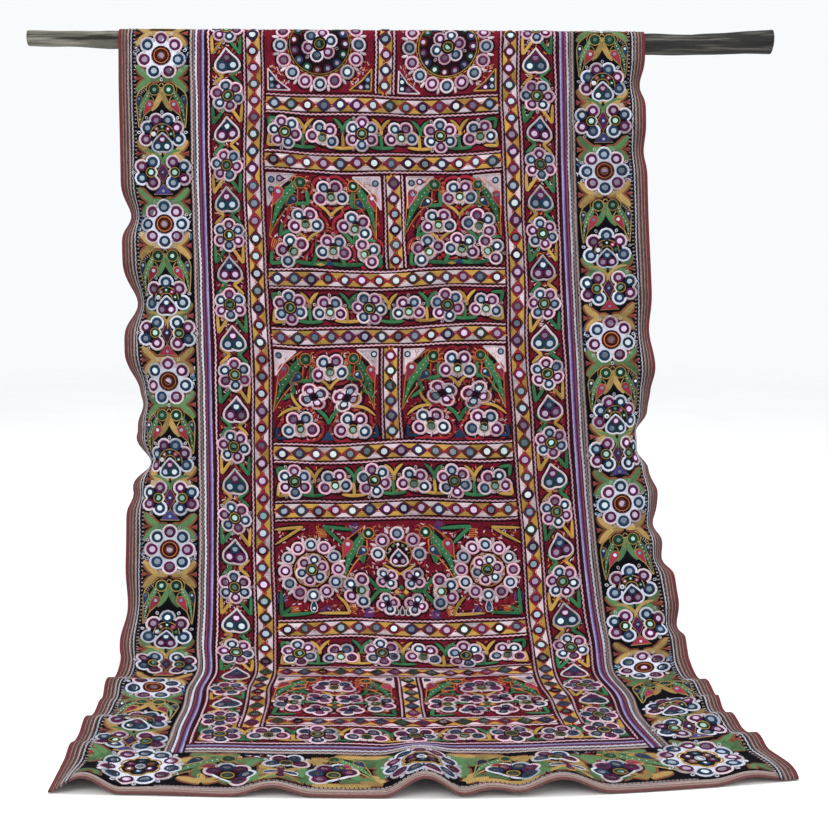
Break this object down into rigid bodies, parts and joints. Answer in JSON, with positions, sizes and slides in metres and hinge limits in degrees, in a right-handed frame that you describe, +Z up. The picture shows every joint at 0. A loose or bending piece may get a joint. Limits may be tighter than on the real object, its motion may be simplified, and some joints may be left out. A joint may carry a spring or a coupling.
{
  "type": "embroidered wall hanging on a wooden pole",
  "caption": "Long mirror-work cloth thrown over a rough wooden pole, the front falling in a slack curve and lying out along the floor, with a short end hanging behind.",
  "frame": {"origin": "on the pole's axis at the middle of its length", "axes": "+X along the pole to the right seen from the front, +Y to the back, +Z up; the cloth lies on a floor 1.23 m below the origin"},
  "size_m": [1.564, 0.9857, 1.2569],
  "materials": {
    "weathered_wood": "weathered, unvarnished",
    "crimson_cloth": "matt cotton",
    "black_cloth": "matt cotton",
    "striped_tape": "woven stripes, matt",
    "striped_binding": "woven stripes, matt",
    "pale_thread": "chain stitch",
    "dark_thread": "chain stitch",
    "red_thread": "chain stitch",
    "plum_thread": "buttonhole stitch",
    "blue_thread": "buttonhole stitch",
    "green_thread": "chain stitch",
    "ochre_thread": "chain stitch",
    "orange_thread": "chain stitch",
    "mirror_disc": "small silvered glass discs"
  },
  "bodies": {
    "root": {"pole": "weathered_wood", "middle_panel": "crimson_cloth", "tape_left": "striped_tape", "tape_right": "striped_tape", "tape_front": "striped_tape", "tape_back": "striped_tape", "border_left": "black_cloth", "border_right": "black_cloth", "border_front": "black_cloth", "border_back": "black_cloth", "binding_left": "striped_binding", "binding_right": "striped_binding", "binding_front": "striped_binding", "binding_back": "striped_binding"}
  },
  "joints": []
}
